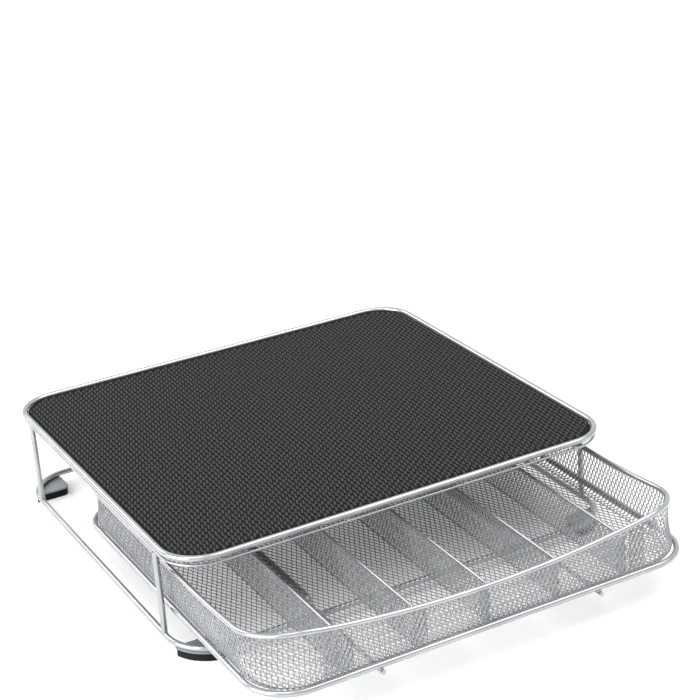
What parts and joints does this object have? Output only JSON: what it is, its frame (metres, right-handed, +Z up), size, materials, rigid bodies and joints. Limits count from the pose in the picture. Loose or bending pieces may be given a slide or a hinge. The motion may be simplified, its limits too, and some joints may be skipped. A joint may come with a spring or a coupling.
{
  "type": "coffee pod drawer",
  "caption": "Low wire stand with a textured mat on top and a sliding mesh drawer underneath, divided front to back for coffee capsules.",
  "frame": {"origin": "on the ground, under the middle of the box that holds the stand and the open drawer", "axes": "+Z up; the drawer opens towards -Y; +X to the right seen from the front"},
  "size_m": [0.315, 0.3926, 0.073],
  "materials": {
    "silver_wire": "satin silver coat on steel wire",
    "mesh_steel": "satin silver coat on expanded steel mesh",
    "shelf_sheet": "satin silver coat on sheet steel",
    "mat_rubber": "matt, embossed like a coarse weave",
    "plate_steel": "satin grey coat",
    "foot_rubber": "matt black"
  },
  "bodies": {
    "stand": {"rim_wire": "silver_wire", "under_rim_wire": "silver_wire", "shelf_cross_wires": "silver_wire", "shelf_panel": "shelf_sheet", "shelf_mat": "mat_rubber", "leg_front_left": "silver_wire", "leg_front_right": "silver_wire", "leg_rear_left": "silver_wire", "leg_rear_right": "silver_wire", "base_wire": "silver_wire", "corner_plate_front_left": "plate_steel", "corner_plate_front_right": "plate_steel", "corner_plate_rear_left": "plate_steel", "corner_plate_rear_right": "plate_steel", "foot_front_left": "foot_rubber", "foot_front_right": "foot_rubber", "foot_rear_left": "foot_rubber", "foot_rear_right": "foot_rubber", "drawer_rail_left": "silver_wire", "drawer_rail_right": "silver_wire"},
    "drawer": {"drawer_rim_wire": "silver_wire", "drawer_base_wire": "silver_wire", "basket_floor": "mesh_steel", "basket_wall_front": "mesh_steel", "basket_wall_rear": "mesh_steel", "basket_wall_left": "mesh_steel", "basket_wall_right": "mesh_steel", "basket_corner_front_left": "mesh_steel", "basket_corner_front_right": "mesh_steel", "basket_corner_rear_left": "mesh_steel", "basket_corner_rear_right": "mesh_steel", "runner_left": "silver_wire", "runner_right": "silver_wire", "divider_panel_1": "mesh_steel", "divider_panel_2": "mesh_steel", "divider_panel_3": "mesh_steel", "divider_panel_4": "mesh_steel", "divider_panel_5": "mesh_steel", "divider_wire_1": "silver_wire", "divider_wire_2": "silver_wire", "divider_wire_3": "silver_wire", "divider_wire_4": "silver_wire", "divider_wire_5": "silver_wire"}
  },
  "joints": [
    {"name": "drawer_slide", "type": "slide", "parent": "stand", "child": "drawer", "axis": [0, -1, 0], "range_m": [-0.097, 0.08]}
  ]
}
